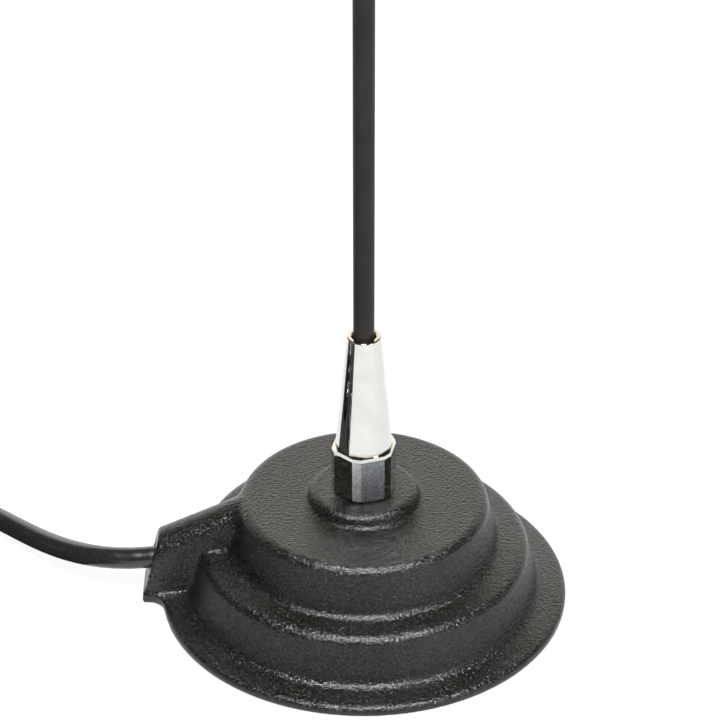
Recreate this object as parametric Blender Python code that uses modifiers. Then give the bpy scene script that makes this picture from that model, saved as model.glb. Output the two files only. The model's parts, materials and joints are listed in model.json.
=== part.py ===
"""Omnidirectional whip antenna on a round magnetic base, with its coaxial lead.

The model stands in its own frame: +Z is up and is the whip's axis, the origin is on that
axis at the underside of the base, and the cable outlet points to -X. Blender's units are
metres; the sizes in this file are millimetres, and the helpers convert them with MM.
"""

import math

import bmesh
import bpy
import numpy as np
from mathutils import Vector

MM = 0.001
GAP = 0.3                    # clearance left between two touching pieces

# Base casting
BASE_R = 46.5                # outer radius of the flange
BASE_SIDES = 56              # sides of its round shapes
RIM_BOTTOM_Z = 0.3           # the casting's rim stands just clear of the surface
BOSS_TOP_Z = 29.0
PLATEAU_Z = 26.2
DRAFT = math.tan(math.radians(13.3))   # lean of the two stepped walls
CEILING_Z = 23.6             # inside top of the casting
SHELF_CEILING_Z = 11.9
PAD_R = 44.7
PAD_THICK = 0.75

# Cable hood, which slopes down from the upper step to the outlet
HOOD_HALF_WIDTH = 5.0
HOOD_TOP = (-28.6, 25.3)     # x and z of the ridge at the upper step
HOOD_MOUTH = (-46.7, 16.64)  # x and z of the ridge at the outlet
HOOD_REACH = 1.4             # how far the hood runs on into the upper step
TAB_END_X = -51.0            # foot of the outlet face
TAB_HALF_WIDTH = 5.5
TAB_THICK = 2.3
TAB_FILLET = 4.0
TUNNEL_R = 3.2
OUTLET_PLACE = (-49.2, 0.0, 9.3)   # middle of the outlet, on the cable's centre line
OUTLET_SLOPE = 7.0           # degrees that the cable falls by as it leaves
GROMMET_R = 3.75
GROMMET_START = 2.2          # how deep in the outlet the grommet starts and ends
GROMMET_END = 4.2

# Magnet assembly
POT_R = 34.8
POT_TOP_Z = 10.2
POT_BOTTOM_Z = 1.05
POT_WALL = 2.0
POT_SCREW_RING = 14.0

# Clamped cable and the posts that hang from the casting's ceiling
CLAMP_X = -20.5
CLAMP_Y = 6.4
EARTH_POST = (-14.5, -9.0)
SMALL_SCREW_R = 1.1

# Threaded stud and its insulators
STUD_R = 2.95                # M6 x 1
STUD_TOP_Z = 40.0
STUD_BOTTOM_Z = 14.2

# Ferrule: hexagon below, cone above
HEX_BOTTOM_Z = 29.6
HEX_TOP_Z = 40.8
HEX_APOTHEM = 6.8
HEX_CORNER_APOTHEM = 7.25    # the hexagon's corners are planed off at this radius
HEX_TURN = math.radians(-72.6)
CONE_FOOT_R = 6.33
CONE_TOP_R = 3.75
FERRULE_TOP_Z = 69.0
WHIP_BORE_R = 2.56

# Whip
SLEEVE_R = 2.325
SLEEVE_BORE_R = 1.95
WINDING_R = 1.85
WINDING_BORE_R = 1.6
CORE_R = 1.5
WHIP_TOP_Z = 450.0
CAP_LENGTH = 13.0

# Coaxial lead
CABLE_R = 2.5
DIELECTRIC_R = 1.45
CONDUCTOR_R = 0.45
COIL_CENTRE = (-148.0, 12.2)
COIL_INNER_R = 22.1          # centre line of the innermost turns
COIL_PITCH = 5.2             # from one turn to the next, sideways and upwards
COIL_COLUMNS = 5
COIL_LAYERS = 4
COIL_FIRST_Z = 3.6
COIL_START_ANGLE = 65.0
COIL_TURNS = 18.36
TIE_THICK = 0.8
TIE_WIDTH = 9.0

# Screw-on radio plug, lying on its coupling ring beside the coil
PLUG_TIP = (-85.5, -46.0, 9.3)
RING_R = 9.2
RING_LENGTH = 19.0
PIN_R = 1.98

# The route of the free cable, from inside the outlet to the coil, and from the coil to the plug
LEAD_ROUTE = [
    (-46.6, 0.0, 9.6),
    (-50.9, 0.0, 9.1),
    (-58.4, 1.0, 8.4),
    (-66.1, 5.0, 6.9),
    (-74.4, 11.6, 5.2),
    (-84.8, 21.4, 3.8),
    (-98.0, 32.6, 2.9),
    (-113.0, 42.8, 3.0),
]
TAIL_ROUTE = [
    (-181.2, -11.9, 19.2),
    (-177.6, -25.4, 16.2),
    (-172.2, -36.4, 10.6),
    (-163.8, -43.4, 6.4),
    (-153.0, -46.0, 5.6),
    (-142.5, -46.0, 7.6),
    (-134.0, -46.0, 9.3),
    (-122.5, -46.0, 9.3),
]

# Finishes: colour, roughness, metallic
FINISHES = {
    "black_cast": ((0.030, 0.031, 0.033), 0.62, 0.0),
    "chrome": ((0.86, 0.87, 0.88), 0.08, 1.0),
    "nickel": ((0.68, 0.67, 0.64), 0.24, 1.0),
    "zinc_steel": ((0.55, 0.56, 0.58), 0.38, 1.0),
    "brass": ((0.78, 0.58, 0.27), 0.30, 1.0),
    "copper": ((0.83, 0.43, 0.27), 0.32, 1.0),
    "ferrite": ((0.085, 0.085, 0.090), 0.70, 0.0),
    "black_rubber": ((0.022, 0.022, 0.023), 0.74, 0.0),
    "black_sleeve": ((0.035, 0.033, 0.030), 0.38, 0.0),
    "black_jacket": ((0.020, 0.020, 0.021), 0.30, 0.0),
    "black_fabric": ((0.028, 0.028, 0.030), 0.88, 0.0),
    "white_plastic": ((0.80, 0.79, 0.75), 0.45, 0.0),
    "glass_fibre": ((0.72, 0.68, 0.52), 0.50, 0.0),
}


# ---------------------------------------------------------------- collections and objects

def clear_scene():
    for item in list(bpy.data.objects):
        bpy.data.objects.remove(item, do_unlink=True)


def new_collection(name):
    collection = bpy.data.collections.new(name)
    bpy.context.scene.collection.children.link(collection)
    return collection


clear_scene()
PARTS = new_collection("omnidirectional_antenna")
CUTTERS = new_collection("cutters")


def add_empty(name, place, rotation=(0.0, 0.0, 0.0)):
    """A guide on a joint's axis, which the pieces of that joint hang from."""
    empty = bpy.data.objects.new(name, None)
    empty.location = Vector(place) * MM
    empty.rotation_euler = rotation
    empty.empty_display_size = 0.01
    CUTTERS.objects.link(empty)
    return empty


def add_part(name, mesh, finish, parent=None):
    """Link a mesh as a sub-part, with a Principled material of its own."""
    part = bpy.data.objects.new(name, mesh)
    PARTS.objects.link(part)
    part.parent = parent
    colour, roughness, metallic = FINISHES[finish]
    material = bpy.data.materials.new(name + "_" + finish)
    material.use_nodes = True
    shader = material.node_tree.nodes["Principled BSDF"]
    shader.inputs["Base Color"].default_value = (*colour, 1.0)
    shader.inputs["Roughness"].default_value = roughness
    shader.inputs["Metallic"].default_value = metallic
    mesh.materials.append(material)
    return part


def add_cutter(name, mesh, parent=None):
    cutter = bpy.data.objects.new(name, mesh)
    CUTTERS.objects.link(cutter)
    cutter.parent = parent
    cutter.hide_render = True
    cutter.display_type = "WIRE"
    return cutter


def boolean(part, other, operation, solver):
    modifier = part.modifiers.new(operation.lower() + "_" + other.name, "BOOLEAN")
    modifier.object = other
    modifier.operation = operation
    modifier.solver = solver


def cut(part, *cutters, solver="EXACT"):
    for cutter in cutters:
        boolean(part, cutter, "DIFFERENCE", solver)


def join(part, *additions, solver="EXACT"):
    for addition in additions:
        boolean(part, addition, "UNION", solver)


# ---------------------------------------------------------------- shapes

def filleted(corners, steps=2):
    """An outline through (r, z, fillet radius) corners, with an arc in place of each corner."""
    outline = []
    for index, (r, z, radius) in enumerate(corners):
        if radius == 0:
            outline.append((r, z))
            continue
        corner = Vector((r, z))
        before = (Vector(corners[index - 1][:2]) - corner).normalized()
        after = (Vector(corners[index + 1][:2]) - corner).normalized()
        half = before.angle(after) / 2
        centre = corner + (before + after).normalized() * radius / math.sin(half)
        for step in range(steps + 1):
            share = (step / steps - 0.5) * (math.pi - 2 * half)
            side = (after - before).normalized() * math.sin(share)
            outward = (corner - centre).normalized() * math.cos(share)
            outline.append(tuple(centre + (side + outward) * radius))
    return outline


def turned_mesh(name, outline, steps):
    """A turned solid. The outline is (r, z) in millimetres and runs down its outer side."""
    mesh = bpy.data.meshes.new(name)
    edges = [(index, index + 1) for index in range(len(outline) - 1)]
    if outline[0][0] > 0:
        edges.append((len(outline) - 1, 0))
    mesh.from_pydata([(r * MM, 0.0, z * MM) for r, z in outline], edges, [])
    guide = bpy.data.objects.new(name + "_outline", mesh)
    PARTS.objects.link(guide)
    screw = guide.modifiers.new("turn", "SCREW")
    screw.steps = steps
    screw.render_steps = steps
    screw.use_merge_vertices = True
    screw.merge_threshold = 0.000001
    return settled_mesh(guide, name)


def settled_mesh(guide, name):
    """The mesh that a guide object's modifiers or curve give. The guide is removed."""
    bpy.context.view_layer.update()
    depsgraph = bpy.context.evaluated_depsgraph_get()
    mesh = bpy.data.meshes.new_from_object(guide.evaluated_get(depsgraph))
    mesh.name = name
    bpy.data.objects.remove(guide, do_unlink=True)
    return mesh


def turned(name, outline, finish, parent=None, steps=48):
    return add_part(name, turned_mesh(name, outline, steps), finish, parent)


def turned_cutter(name, outline, parent=None, steps=48):
    return add_cutter(name, turned_mesh(name, outline, steps), parent)


def disc(radius, bottom, top):
    """The outline of a plain round solid."""
    return [(0, top), (radius, top), (radius, bottom), (0, bottom)]


def ring(inner, outer, bottom, top):
    """The outline of a plain tube or washer."""
    return [(inner, top), (outer, top), (outer, bottom), (inner, bottom)]


def extruded_mesh(name, outline, bottom, top):
    """A flat outline of (x, y) points in millimetres, raised from bottom to top."""
    curve = bpy.data.curves.new(name, "CURVE")
    curve.dimensions = "2D"
    curve.fill_mode = "BOTH"
    curve.extrude = (top - bottom) / 2 * MM
    spline = curve.splines.new("POLY")
    spline.points.add(len(outline) - 1)
    spline.use_cyclic_u = True
    for point, (x, y) in zip(spline.points, outline):
        point.co = (x * MM, y * MM, 0.0, 1.0)
    guide = bpy.data.objects.new(name + "_outline", curve)
    PARTS.objects.link(guide)
    mesh = settled_mesh(guide, name)
    for vertex in mesh.vertices:
        vertex.co.z += (top + bottom) / 2 * MM
    weld(mesh)
    return mesh


def weld(mesh):
    welded = bmesh.new()
    welded.from_mesh(mesh)
    bmesh.ops.remove_doubles(welded, verts=welded.verts, dist=0.00001)
    welded.to_mesh(mesh)
    welded.free()


def tube_mesh(name, route, radius, resolution=2):
    """A round tube along a route of (x, y, z) points in millimetres."""
    curve = bpy.data.curves.new(name, "CURVE")
    curve.dimensions = "3D"
    curve.bevel_depth = radius * MM
    curve.bevel_resolution = resolution
    curve.use_fill_caps = True
    spline = curve.splines.new("POLY")
    spline.points.add(len(route) - 1)
    for point, place in zip(spline.points, route):
        point.co = (*(Vector(place) * MM), 1.0)
    guide = bpy.data.objects.new(name + "_route", curve)
    PARTS.objects.link(guide)
    mesh = settled_mesh(guide, name)
    weld(mesh)
    return mesh


def tube(name, route, radius, finish, parent=None, resolution=2):
    return add_part(name, tube_mesh(name, route, radius, resolution), finish, parent)


def smooth_route(points, spacing):
    """Points at an even spacing along the natural cubic curve through a list of points."""
    knots = np.array(points, dtype=float)
    steps = np.linalg.norm(np.diff(knots, axis=0), axis=1)
    count = len(knots)
    system = np.eye(count)
    bends = np.zeros_like(knots)
    for i in range(1, count - 1):
        system[i, i - 1] = steps[i - 1]
        system[i, i] = 2 * (steps[i - 1] + steps[i])
        system[i, i + 1] = steps[i]
        slopes = (knots[i + 1] - knots[i]) / steps[i] - (knots[i] - knots[i - 1]) / steps[i - 1]
        bends[i] = 6 * slopes
    second = np.linalg.solve(system, bends)
    dense = []
    for i in range(count - 1):
        for t in np.linspace(0.0, 1.0, 24, endpoint=False):
            a = 1 - t
            h = steps[i]
            bow = ((a ** 3 - a) * second[i] + (t ** 3 - t) * second[i + 1]) * h * h / 6
            dense.append(a * knots[i] + t * knots[i + 1] + bow)
    dense.append(knots[-1])
    dense = np.array(dense)
    travel = np.concatenate([[0.0], np.cumsum(np.linalg.norm(np.diff(dense, axis=0), axis=1))])
    stations = np.linspace(0.0, travel[-1], max(2, round(travel[-1] / spacing) + 1))
    return [tuple(np.interp(s, travel, dense[:, axis]) for axis in range(3)) for s in stations]


# ---------------------------------------------------------------- the base casting

def hood_mesh():
    """The rounded hood over the cable: a side outline, with its two ridge edges rounded."""
    slope = (HOOD_TOP[1] - HOOD_MOUTH[1]) / (HOOD_TOP[0] - HOOD_MOUTH[0])
    inner_x = HOOD_TOP[0] + HOOD_REACH
    inner_z = HOOD_TOP[1] + slope * HOOD_REACH
    side = [
        (TAB_END_X, -RIM_BOTTOM_Z),
        (HOOD_MOUTH[0], -HOOD_MOUTH[1]),
        (inner_x, -inner_z),
        (inner_x, -RIM_BOTTOM_Z),
    ]
    mesh = extruded_mesh("hood", side, -HOOD_HALF_WIDTH, HOOD_HALF_WIDTH)
    shape = bmesh.new()
    shape.from_mesh(mesh)
    for vertex in shape.verts:
        vertex.co = Vector((vertex.co.x, vertex.co.z, -vertex.co.y))
    lowest_ridge = (HOOD_MOUTH[1] - 0.1) * MM

    def is_ridge(edge):
        run = edge.verts[1].co - edge.verts[0].co
        high = min(vertex.co.z for vertex in edge.verts) > lowest_ridge
        return high and abs(run.x) > MM and abs(run.y) < 0.1 * MM

    bmesh.ops.bevel(
        shape, geom=[edge for edge in shape.edges if is_ridge(edge)],
        offset=HOOD_HALF_WIDTH * 0.995 * MM, offset_type="OFFSET",
        segments=6, profile=0.5, affect="EDGES", clamp_overlap=False,
    )
    bmesh.ops.recalc_face_normals(shape, faces=shape.faces)
    shape.to_mesh(mesh)
    shape.free()
    return mesh


def tab_outline():
    """Plan of the tab under the hood, whose sides sweep into the flange's rim."""
    centre_y = -(TAB_HALF_WIDTH + TAB_FILLET)
    centre_x = -math.sqrt((BASE_R + TAB_FILLET) ** 2 - centre_y ** 2)
    rim_angle = math.atan2(-centre_y, -centre_x)
    near_side = [(TAB_END_X + 0.25, -TAB_HALF_WIDTH)]
    for step in range(5):
        angle = math.pi / 2 - (math.pi / 2 - rim_angle) * step / 4
        x = centre_x + TAB_FILLET * math.cos(angle)
        y = centre_y + TAB_FILLET * math.sin(angle)
        near_side.append((x, y))
    near_side.append((-43.0, -8.4))
    far_side = [(x, -y) for x, y in reversed(near_side)]
    return near_side + far_side


def cable_inside_route():
    """The cable's centre line from the outlet up into the casting."""
    return [
        (LEAD_ROUTE[0][0] + 1.2, 0.0, LEAD_ROUTE[0][2] + 0.25),
        (-44.0, 0.0, 10.3),
        (-40.0, 0.0, 11.9),
        (-36.0, 0.0, 13.8),
        (-31.0, 0.0, 15.7),
        (-25.0, 0.0, 17.0),
        (-19.0, 0.0, 17.0),
        (-13.0, 0.0, 17.0),
    ]


def base_shell():
    outside = [
        (0, BOSS_TOP_Z, 0),
        (12.0, BOSS_TOP_Z, 1.5),
        (12.9, PLATEAU_Z, 1.0),
        (27.9, PLATEAU_Z, 2.1),
        (30.5, 15.0, 1.6),
        (37.25, 14.2, 2.1),
        (39.85, 3.4, 1.6),
        (BASE_R, 2.3, 1.2),
        (BASE_R, RIM_BOTTOM_Z, 0),
        (0, RIM_BOTTOM_Z, 0),
    ]
    shell = turned("base_shell", filleted(outside), "black_cast", steps=BASE_SIDES)

    hood = add_cutter("hood", hood_mesh())
    tab_top = RIM_BOTTOM_Z + TAB_THICK
    tab = add_cutter("tab", extruded_mesh("tab", tab_outline(), RIM_BOTTOM_Z, tab_top))
    join(shell, tab, hood, solver="MANIFOLD")

    hollow = [
        (0, 30.0), (6.0, 30.0), (6.0, 27.0), (4.6, 27.0), (4.6, CEILING_Z),
        (25.6, CEILING_Z), (28.2, SHELF_CEILING_Z), (36.3, SHELF_CEILING_Z), (37.0, 1.0),
        (PAD_R + 0.3, 1.0), (PAD_R + 0.3, -1.0), (0, -1.0),
    ]
    inside = turned_cutter("hollow", hollow, steps=BASE_SIDES)
    holes = []
    for name, (x, y), radius, bottom, hole_radius, hole_top in post_list():
        place = Vector((x, y, 0)) * MM
        post = turned_cutter(name, disc(radius, bottom, CEILING_Z + 0.9), steps=14)
        hole = turned_cutter(name + "_hole", disc(hole_radius, bottom - 2.0, hole_top), steps=12)
        post.location = hole.location = place
        cut(inside, post)
        holes.append(hole)
    # the exact solver leaves open edges round the many small holes here
    cut(shell, inside, *holes, solver="MANIFOLD")

    route = smooth_route([(-56.0, 0.0, 8.6)] + [LEAD_ROUTE[1]] + cable_inside_route()[:6], 5.5)
    tunnel = add_cutter("cable_tunnel", tube_mesh("cable_tunnel", route, TUNNEL_R, resolution=3))
    mouth = turned_cutter("mouth_recess", disc(GROMMET_R + 0.15, -5.0, GROMMET_END + GAP), steps=20)
    mouth.location = Vector(OUTLET_PLACE) * MM
    mouth.rotation_euler = (0.0, math.radians(90 - OUTLET_SLOPE), 0.0)
    cut(shell, tunnel, mouth, solver="MANIFOLD")


def post_list():
    """The posts under the ceiling: name, (x, y), radius, foot, and the screw hole's radius and end."""
    for number, place in enumerate(pot_screw_places(), 1):
        yield f"pot_post_{number}", place, 3.4, POT_TOP_Z + GAP, 1.6, 20.5
    for number, y in enumerate((CLAMP_Y, -CLAMP_Y), 1):
        yield f"clamp_post_{number}", (CLAMP_X, y), 2.4, 14.5, 1.35, 21.0
    yield "earth_post", EARTH_POST, 2.8, 18.4, 1.35, 22.6


def pot_screw_places():
    for number in range(3):
        angle = math.radians(120 * number)
        yield POT_SCREW_RING * math.cos(angle), POT_SCREW_RING * math.sin(angle)


def base_pad():
    turned("base_pad", disc(PAD_R, 0.0, PAD_THICK), "black_rubber", steps=BASE_SIDES)


# ---------------------------------------------------------------- the magnet assembly

def magnet_assembly():
    cup = [
        (0, POT_TOP_Z, 0), (POT_R, POT_TOP_Z, 1.5), (POT_R, POT_BOTTOM_Z, 0),
        (POT_R - POT_WALL, POT_BOTTOM_Z, 0), (POT_R - POT_WALL, POT_TOP_Z - POT_WALL, 0),
        (0, POT_TOP_Z - POT_WALL, 0),
    ]
    pot = turned("magnet_pot", filleted(cup), "zinc_steel", steps=44)
    magnet_top = POT_TOP_Z - POT_WALL - GAP
    turned("ring_magnet", ring(20.6, 32.4, 1.7, magnet_top), "ferrite", steps=44)
    hub = turned("pole_hub", disc(20.1, 1.4, magnet_top), "zinc_steel", steps=44)
    for number, (x, y) in enumerate(pot_screw_places(), 1):
        place = Vector((x, y, 0)) * MM
        hole = turned_cutter(f"pot_screw_hole_{number}", disc(1.7, 0.5, 12.0), steps=12)
        recess = turned_cutter(f"pot_screw_recess_{number}", disc(3.1, 0.5, 3.9), steps=14)
        hole.location = recess.location = place
        cut(pot, hole)
        cut(hub, hole, recess)
        outline = [(0, 18.5), (1.35, 18.5), (1.35, 3.4), (2.7, 3.4), (2.7, 1.8), (0, 1.8)]
        screw = turned(f"pot_screw_{number}", outline, "nickel", steps=14)
        screw.location = place


# ---------------------------------------------------------------- stud, insulators and contacts

def hexagon(apothem, corner_apothem=None, turn=0.0):
    """A hexagon's outline; with a corner apothem, its corners are planed to narrow faces."""
    if corner_apothem is None:
        radius = apothem / math.cos(math.pi / 6)
        return [(radius * math.cos(turn + math.pi / 6 + side * math.pi / 3),
                 radius * math.sin(turn + math.pi / 6 + side * math.pi / 3)) for side in range(6)]
    outline = []
    for face in range(12):
        reach = (apothem, corner_apothem) if face % 2 == 0 else (corner_apothem, apothem)
        normal = turn + face * math.pi / 6
        # the corner between this face and the next, 30 degrees on
        across = (reach[1] - reach[0] * math.cos(math.pi / 6)) / math.sin(math.pi / 6)
        outline.append((reach[0] * math.cos(normal) - across * math.sin(normal),
                        reach[0] * math.sin(normal) + across * math.cos(normal)))
    return outline


def stud_and_contacts():
    bush = [(3.25, 28.8), (5.7, 28.8), (5.7, 27.3), (4.3, 27.3), (4.3, 23.9), (3.25, 23.9)]
    turned("insulator_bush", bush, "white_plastic", steps=24)
    turned("insulator_washer", ring(3.25, 7.5, 21.8, 23.3), "white_plastic", steps=24)

    stud = [
        (0, STUD_TOP_Z), (2.3, STUD_TOP_Z), (STUD_R, STUD_TOP_Z - 0.7), (STUD_R, 31.0),
        (4.9, 31.0), (4.9, 29.1), (STUD_R, 29.1), (STUD_R, STUD_BOTTOM_Z + 0.6),
        (2.4, STUD_BOTTOM_Z), (0, STUD_BOTTOM_Z),
    ]
    turned("contact_stud", stud, "brass", steps=28)

    tag_bottom, tag_top = 20.8, 21.5
    tag = turned("solder_tag", ring(3.25, 5.2, tag_bottom, tag_top), "brass", steps=20)
    tongue = [(-9.2, -1.3), (-4.4, -1.3), (-4.4, 1.3), (-9.2, 1.3)]
    join(tag, add_cutter("tag_tongue", extruded_mesh("tag_tongue", tongue, tag_bottom, tag_top)))
    turned("lock_washer", ring(3.25, 5.0, 19.6, 20.5), "zinc_steel", steps=20)
    nut = add_part("stud_nut", extruded_mesh("stud_nut", hexagon(5.0), 15.6, 19.3), "nickel")
    cut(nut, turned_cutter("stud_nut_hole", disc(3.2, 10.0, 25.0), steps=20))


# ---------------------------------------------------------------- cable inside the casting

def screw_outline(tip, seat, foot, head_radius):
    """A small screw that points up: its shank from tip to seat, its head from seat to foot."""
    shank = SMALL_SCREW_R
    return [(0, tip), (shank, tip), (shank, seat), (head_radius, seat), (head_radius, foot), (0, foot)]


def inside_cable():
    route = smooth_route(cable_inside_route(), 4.5)
    tube("coax_jacket", route, CABLE_R, "black_jacket")
    end_x, _, end_z = route[-1]
    core = [(end_x + GAP, 0, end_z), (end_x + 3.5, 0, end_z)]
    tube("coax_dielectric", core, DIELECTRIC_R, "white_plastic")
    wire = [
        (end_x + 3.5 + GAP, 0.0, end_z),
        (end_x + 4.4, 0.0, end_z + 0.7),
        (end_x + 4.6, 0.0, end_z + 2.0),
        (end_x + 4.6, 0.0, 20.8 - GAP),
    ]
    tube("coax_conductor", wire, CONDUCTOR_R, "copper")

    towards_cable = Vector((0.45, 0.893))
    far, near = (Vector(EARTH_POST) + towards_cable * reach for reach in (4.6, 3.25))
    braid = [
        (end_x + 0.9, -2.25, end_z),
        (end_x + 0.8, -3.5, end_z + 0.2),
        (*far, 17.5),
        (*near, 17.55),
    ]
    tube("braid_tail", braid, 0.7, "copper")
    tag = turned("earth_tag", ring(1.6, 3.0, 17.2, 18.1), "brass", steps=16)
    tag.location = Vector((*EARTH_POST, -0.1)) * MM
    screw = turned("earth_screw", screw_outline(21.5, 16.8, 15.2, 2.4), "nickel", steps=14)
    screw.location = Vector((*EARTH_POST, 0)) * MM

    clamp_outline = [
        (CLAMP_X - 2.4, -CLAMP_Y - 2.6), (CLAMP_X + 2.4, -CLAMP_Y - 2.6),
        (CLAMP_X + 2.4, CLAMP_Y + 2.6), (CLAMP_X - 2.4, CLAMP_Y + 2.6),
    ]
    clamp = add_part("cable_clamp", extruded_mesh("cable_clamp", clamp_outline, 12.9, 14.2), "zinc_steel")
    for number, y in enumerate((CLAMP_Y, -CLAMP_Y), 1):
        place = Vector((CLAMP_X, y, 0)) * MM
        hole = turned_cutter(f"clamp_hole_{number}", disc(1.35, 10.0, 16.0), steps=12)
        hole.location = place
        cut(clamp, hole)
        screw = turned(f"clamp_screw_{number}", screw_outline(20.0, 12.6, 10.9, 2.1), "nickel", steps=14)
        screw.location = place

    sleeve = ring(CABLE_R + GAP, GROMMET_R, GROMMET_START, GROMMET_END)
    grommet = turned("cable_grommet", sleeve, "black_rubber", steps=18)
    grommet.location = Vector(OUTLET_PLACE) * MM
    grommet.rotation_euler = (0.0, math.radians(90 - OUTLET_SLOPE), 0.0)


# ---------------------------------------------------------------- the whip, which unscrews

def whip():
    axis = add_empty("whip_axis", (0, 0, HEX_BOTTOM_Z))

    seal = ring(5.35, 6.7, 29.1 - HEX_BOTTOM_Z, 29.45 - HEX_BOTTOM_Z)
    turned("seal_ring", seal, "black_rubber", axis, 28)

    counterbore_r = 5.2
    stud_hole_r = STUD_R + 0.07
    core_hole_r = 1.75
    hexagon_room_r = 7.9
    lip = 0.5
    outline = [
        (0, 46.0), (core_hole_r, 46.0), (core_hole_r, 52.0), (WHIP_BORE_R, 52.0),
        (WHIP_BORE_R, FERRULE_TOP_Z - lip), (WHIP_BORE_R + 0.4, FERRULE_TOP_Z),
        (CONE_TOP_R - lip, FERRULE_TOP_Z), (CONE_TOP_R, FERRULE_TOP_Z - lip),
        (CONE_FOOT_R, HEX_TOP_Z), (hexagon_room_r, HEX_TOP_Z),
        (hexagon_room_r, HEX_BOTTOM_Z + 0.5), (7.0, HEX_BOTTOM_Z), (counterbore_r, HEX_BOTTOM_Z),
        (counterbore_r, 31.4), (stud_hole_r, 31.4), (stud_hole_r, 41.0), (0, 41.0),
    ]
    outline = [(r, z - HEX_BOTTOM_Z) for r, z in outline]
    ferrule = turned("whip_ferrule", outline, "chrome", axis, 36)
    hexagon_height = HEX_TOP_Z - HEX_BOTTOM_Z
    square = [(-12, -12), (12, -12), (12, 12), (-12, 12)]
    around = extruded_mesh("hexagon_room", square, -1.0, hexagon_height + 0.2)
    room = add_cutter("hexagon_room", around, axis)
    faces = hexagon(HEX_APOTHEM, HEX_CORNER_APOTHEM, HEX_TURN)
    inside = extruded_mesh("hexagon_faces", faces, -2.0, hexagon_height + 2.0)
    cut(room, add_cutter("hexagon_faces", inside, axis))
    cut(ferrule, room)

    tip = WHIP_TOP_Z - HEX_BOTTOM_Z
    foot = 46.3 - HEX_BOTTOM_Z
    turned("whip_core", disc(CORE_R, foot, tip - 8.0), "glass_fibre", axis, 20)
    winding = ring(WINDING_BORE_R, WINDING_R, 53.0 - HEX_BOTTOM_Z, tip - 12.0)
    turned("whip_winding", winding, "copper", axis, 20)
    sleeve = ring(SLEEVE_BORE_R, SLEEVE_R, 52.3 - HEX_BOTTOM_Z, tip - 5.0)
    turned("whip_sleeve", sleeve, "black_sleeve", axis, 20)
    cap_r = SLEEVE_R + 0.75
    cap = filleted([
        (0, tip, 0), (cap_r, tip, 1.4), (cap_r, tip - CAP_LENGTH, 0),
        (SLEEVE_R + 0.1, tip - CAP_LENGTH, 0), (SLEEVE_R + 0.1, tip - 4.0, 0), (0, tip - 4.0, 0),
    ])
    turned("whip_tip_cap", cap, "black_rubber", axis, 20)


# ---------------------------------------------------------------- the free cable and its coil

def coil_point(turn):
    """A point on the coil after so many turns: flat layers, stepping in, then out, then in."""
    number = int(turn)
    part_of_turn = turn - number
    layer, place = divmod(number, COIL_COLUMNS)
    step_aside = ease((part_of_turn - 0.40) / 0.35) if place < COIL_COLUMNS - 1 else 0.0
    step_up = ease((part_of_turn - 0.75) / 0.25) if place == COIL_COLUMNS - 1 else 0.0
    across = place + step_aside
    if layer % 2 == 0:
        across = COIL_COLUMNS - 1 - across
    radius = COIL_INNER_R + across * COIL_PITCH
    angle = math.radians(COIL_START_ANGLE + 360 * turn)
    return (
        COIL_CENTRE[0] + radius * math.cos(angle),
        COIL_CENTRE[1] + radius * math.sin(angle),
        COIL_FIRST_Z + (layer + step_up) * COIL_PITCH,
    )


def ease(share):
    """From 0 to 1 with a soft start and end."""
    share = min(max(share, 0.0), 1.0)
    return 0.5 - 0.5 * math.cos(math.pi * share)


def free_cable():
    outer_r = COIL_INNER_R + (COIL_COLUMNS - 1) * COIL_PITCH + CABLE_R + 0.1
    inner_r = COIL_INNER_R - CABLE_R - 0.1
    bottom = COIL_FIRST_Z - CABLE_R
    top = COIL_FIRST_Z + (COIL_LAYERS - 1) * COIL_PITCH + CABLE_R + 0.1
    centre = Vector((*COIL_CENTRE, 0))

    def clear_of_coil(place):
        reach = (Vector((place[0], place[1], 0)) - centre).length
        return reach > outer_r + CABLE_R + GAP

    lead = smooth_route(LEAD_ROUTE + [coil_point(0.0), coil_point(0.03)], 11.0)
    tube("coax_lead", [place for place in lead if clear_of_coil(place)], CABLE_R, "black_jacket")
    tail = smooth_route([coil_point(COIL_TURNS - 0.03), coil_point(COIL_TURNS)] + TAIL_ROUTE, 9.0)
    tube("coax_tail", [place for place in tail if clear_of_coil(place)], CABLE_R, "black_jacket")

    edge = 1.8
    section = [(inner_r, top, 0), (outer_r, top, edge), (outer_r, bottom, edge), (inner_r, bottom, 0)]
    coil = turned("coax_coil", filleted(section, 1), "black_jacket", steps=40)
    coil.location = centre * MM

    for number, angle in enumerate((120, 300), 1):
        add_tie(f"coil_tie_{number}", angle, inner_r, outer_r, bottom, top)


def add_tie(name, angle, inner_r, outer_r, bottom, top):
    """A fabric strap round the coil's section, made as a flat loop and stood on edge."""
    slack = 0.2
    half = TIE_WIDTH / 2
    # the flat strap meets the coil's curved inner wall at the strap's two edges
    low, high = math.sqrt(inner_r ** 2 - half ** 2) - slack, outer_r + slack
    floor, roof = bottom - slack, top + slack
    outside = [
        (low - TIE_THICK, -floor + TIE_THICK), (low - TIE_THICK, -roof - TIE_THICK),
        (high + TIE_THICK, -roof - TIE_THICK), (high + TIE_THICK, -floor + TIE_THICK),
    ]
    inside = [(low, -floor), (low, -roof), (high, -roof), (high, -floor)]
    strap = add_part(name, extruded_mesh(name, outside, -half, half), "black_fabric")
    opening_mesh = extruded_mesh(name + "_opening", inside, -half - 1, half + 1)
    opening = add_cutter(name + "_opening", opening_mesh)
    cut(strap, opening)
    for item in (strap, opening):
        item.location = Vector((*COIL_CENTRE, 0)) * MM
        item.rotation_euler = (math.radians(-90), 0.0, math.radians(angle))


# ---------------------------------------------------------------- the plug on the cable's end

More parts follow.
